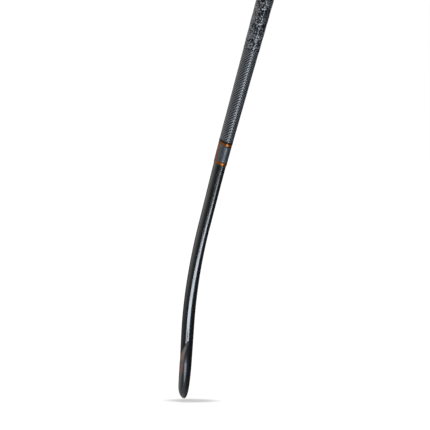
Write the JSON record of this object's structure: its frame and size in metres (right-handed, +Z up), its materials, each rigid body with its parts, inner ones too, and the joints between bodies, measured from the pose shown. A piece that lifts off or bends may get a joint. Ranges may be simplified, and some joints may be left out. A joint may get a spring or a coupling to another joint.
{
  "type": "indoor hockey stick",
  "caption": "Slim bowed stick with a flat face, rounded back, tight J-hook head and wound grip, for pushing and trapping the ball in indoor hockey.",
  "frame": {"origin": "the hand hold: the point on the handle's axis where the upper hand holds the stick, 800 mm along the face line from the sole", "axes": "+Z up, along the stick, whose handle leans 15.75 degrees from it towards +X as in the picture; +X the side that the flat playing face looks to; -Y the side that the toe of the hook points to"},
  "size_m": [0.2241, 0.1102, 0.9072],
  "materials": {
    "lacquered_laminate": "black fibre laminate under clear gloss lacquer",
    "core_foam": "closed-cell foam, bare",
    "raw_laminate": "bare fibre laminate, satin",
    "plug_foam": "moulded filler, bare",
    "cap_rubber": "matte black rubber",
    "trim_orange": "printed orange film, glossy",
    "band_grey": "printed blue-grey film, glossy",
    "end_tape_black": "black tape, satin",
    "sleeve_charcoal": "finely ribbed charcoal sleeve, low sheen",
    "tape_charcoal": "pebbled charcoal grip tape, low sheen"
  },
  "bodies": {
    "root": {"composite_shell": "lacquered_laminate", "head_core": "core_foam", "shaft_tube_heel_side": "raw_laminate", "shaft_tube_toe_side": "raw_laminate", "handle_plug": "plug_foam", "butt_cap": "cap_rubber", "band_trim_lower": "trim_orange", "band_trim_upper": "trim_orange", "band_back_strip": "trim_orange", "band_panel": "band_grey", "grip_end_tape": "end_tape_black", "grip_sleeve": "sleeve_charcoal", "grip_tape": "tape_charcoal"}
  },
  "joints": []
}
